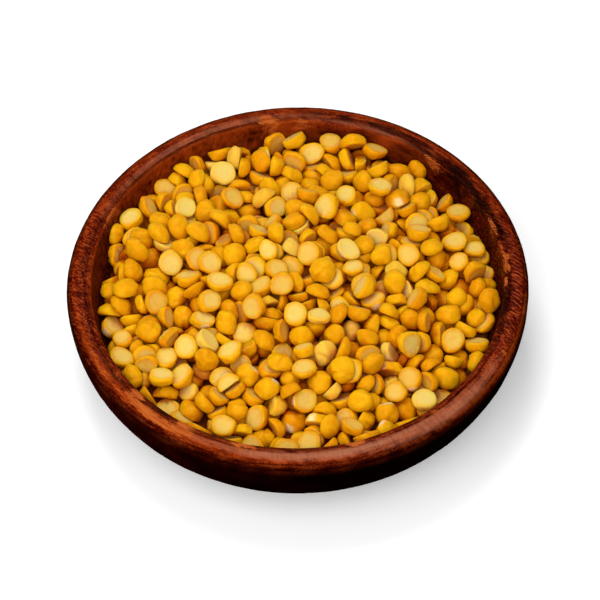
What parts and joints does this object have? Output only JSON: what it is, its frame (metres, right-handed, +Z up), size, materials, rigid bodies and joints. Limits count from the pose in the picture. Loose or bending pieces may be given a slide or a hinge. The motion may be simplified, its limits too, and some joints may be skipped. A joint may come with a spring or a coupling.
{
  "type": "dish of chana dal",
  "caption": "Shallow round turned wooden dish with a rounded lip, heaped with dry chana dal: split, husked chickpeas with flat cut faces and domed backs.",
  "frame": {"origin": "middle of the flat foot, on the surface that the dish stands on", "axes": "+Z up through the middle of the dish, -Y towards the viewer of the picture, +X to the viewer's right"},
  "size_m": [0.13, 0.13, 0.0324],
  "materials": {
    "varnished_wood": "dark red-brown gloss varnish over reddish wood, worn to bare orange wood along the inner edge of the lip",
    "dry_dal": "dry split pulse, satin orange-yellow backs and paler matt cut faces"
  },
  "bodies": {
    "root": {"dish": "varnished_wood", "dal_heap": "dry_dal"}
  },
  "joints": []
}
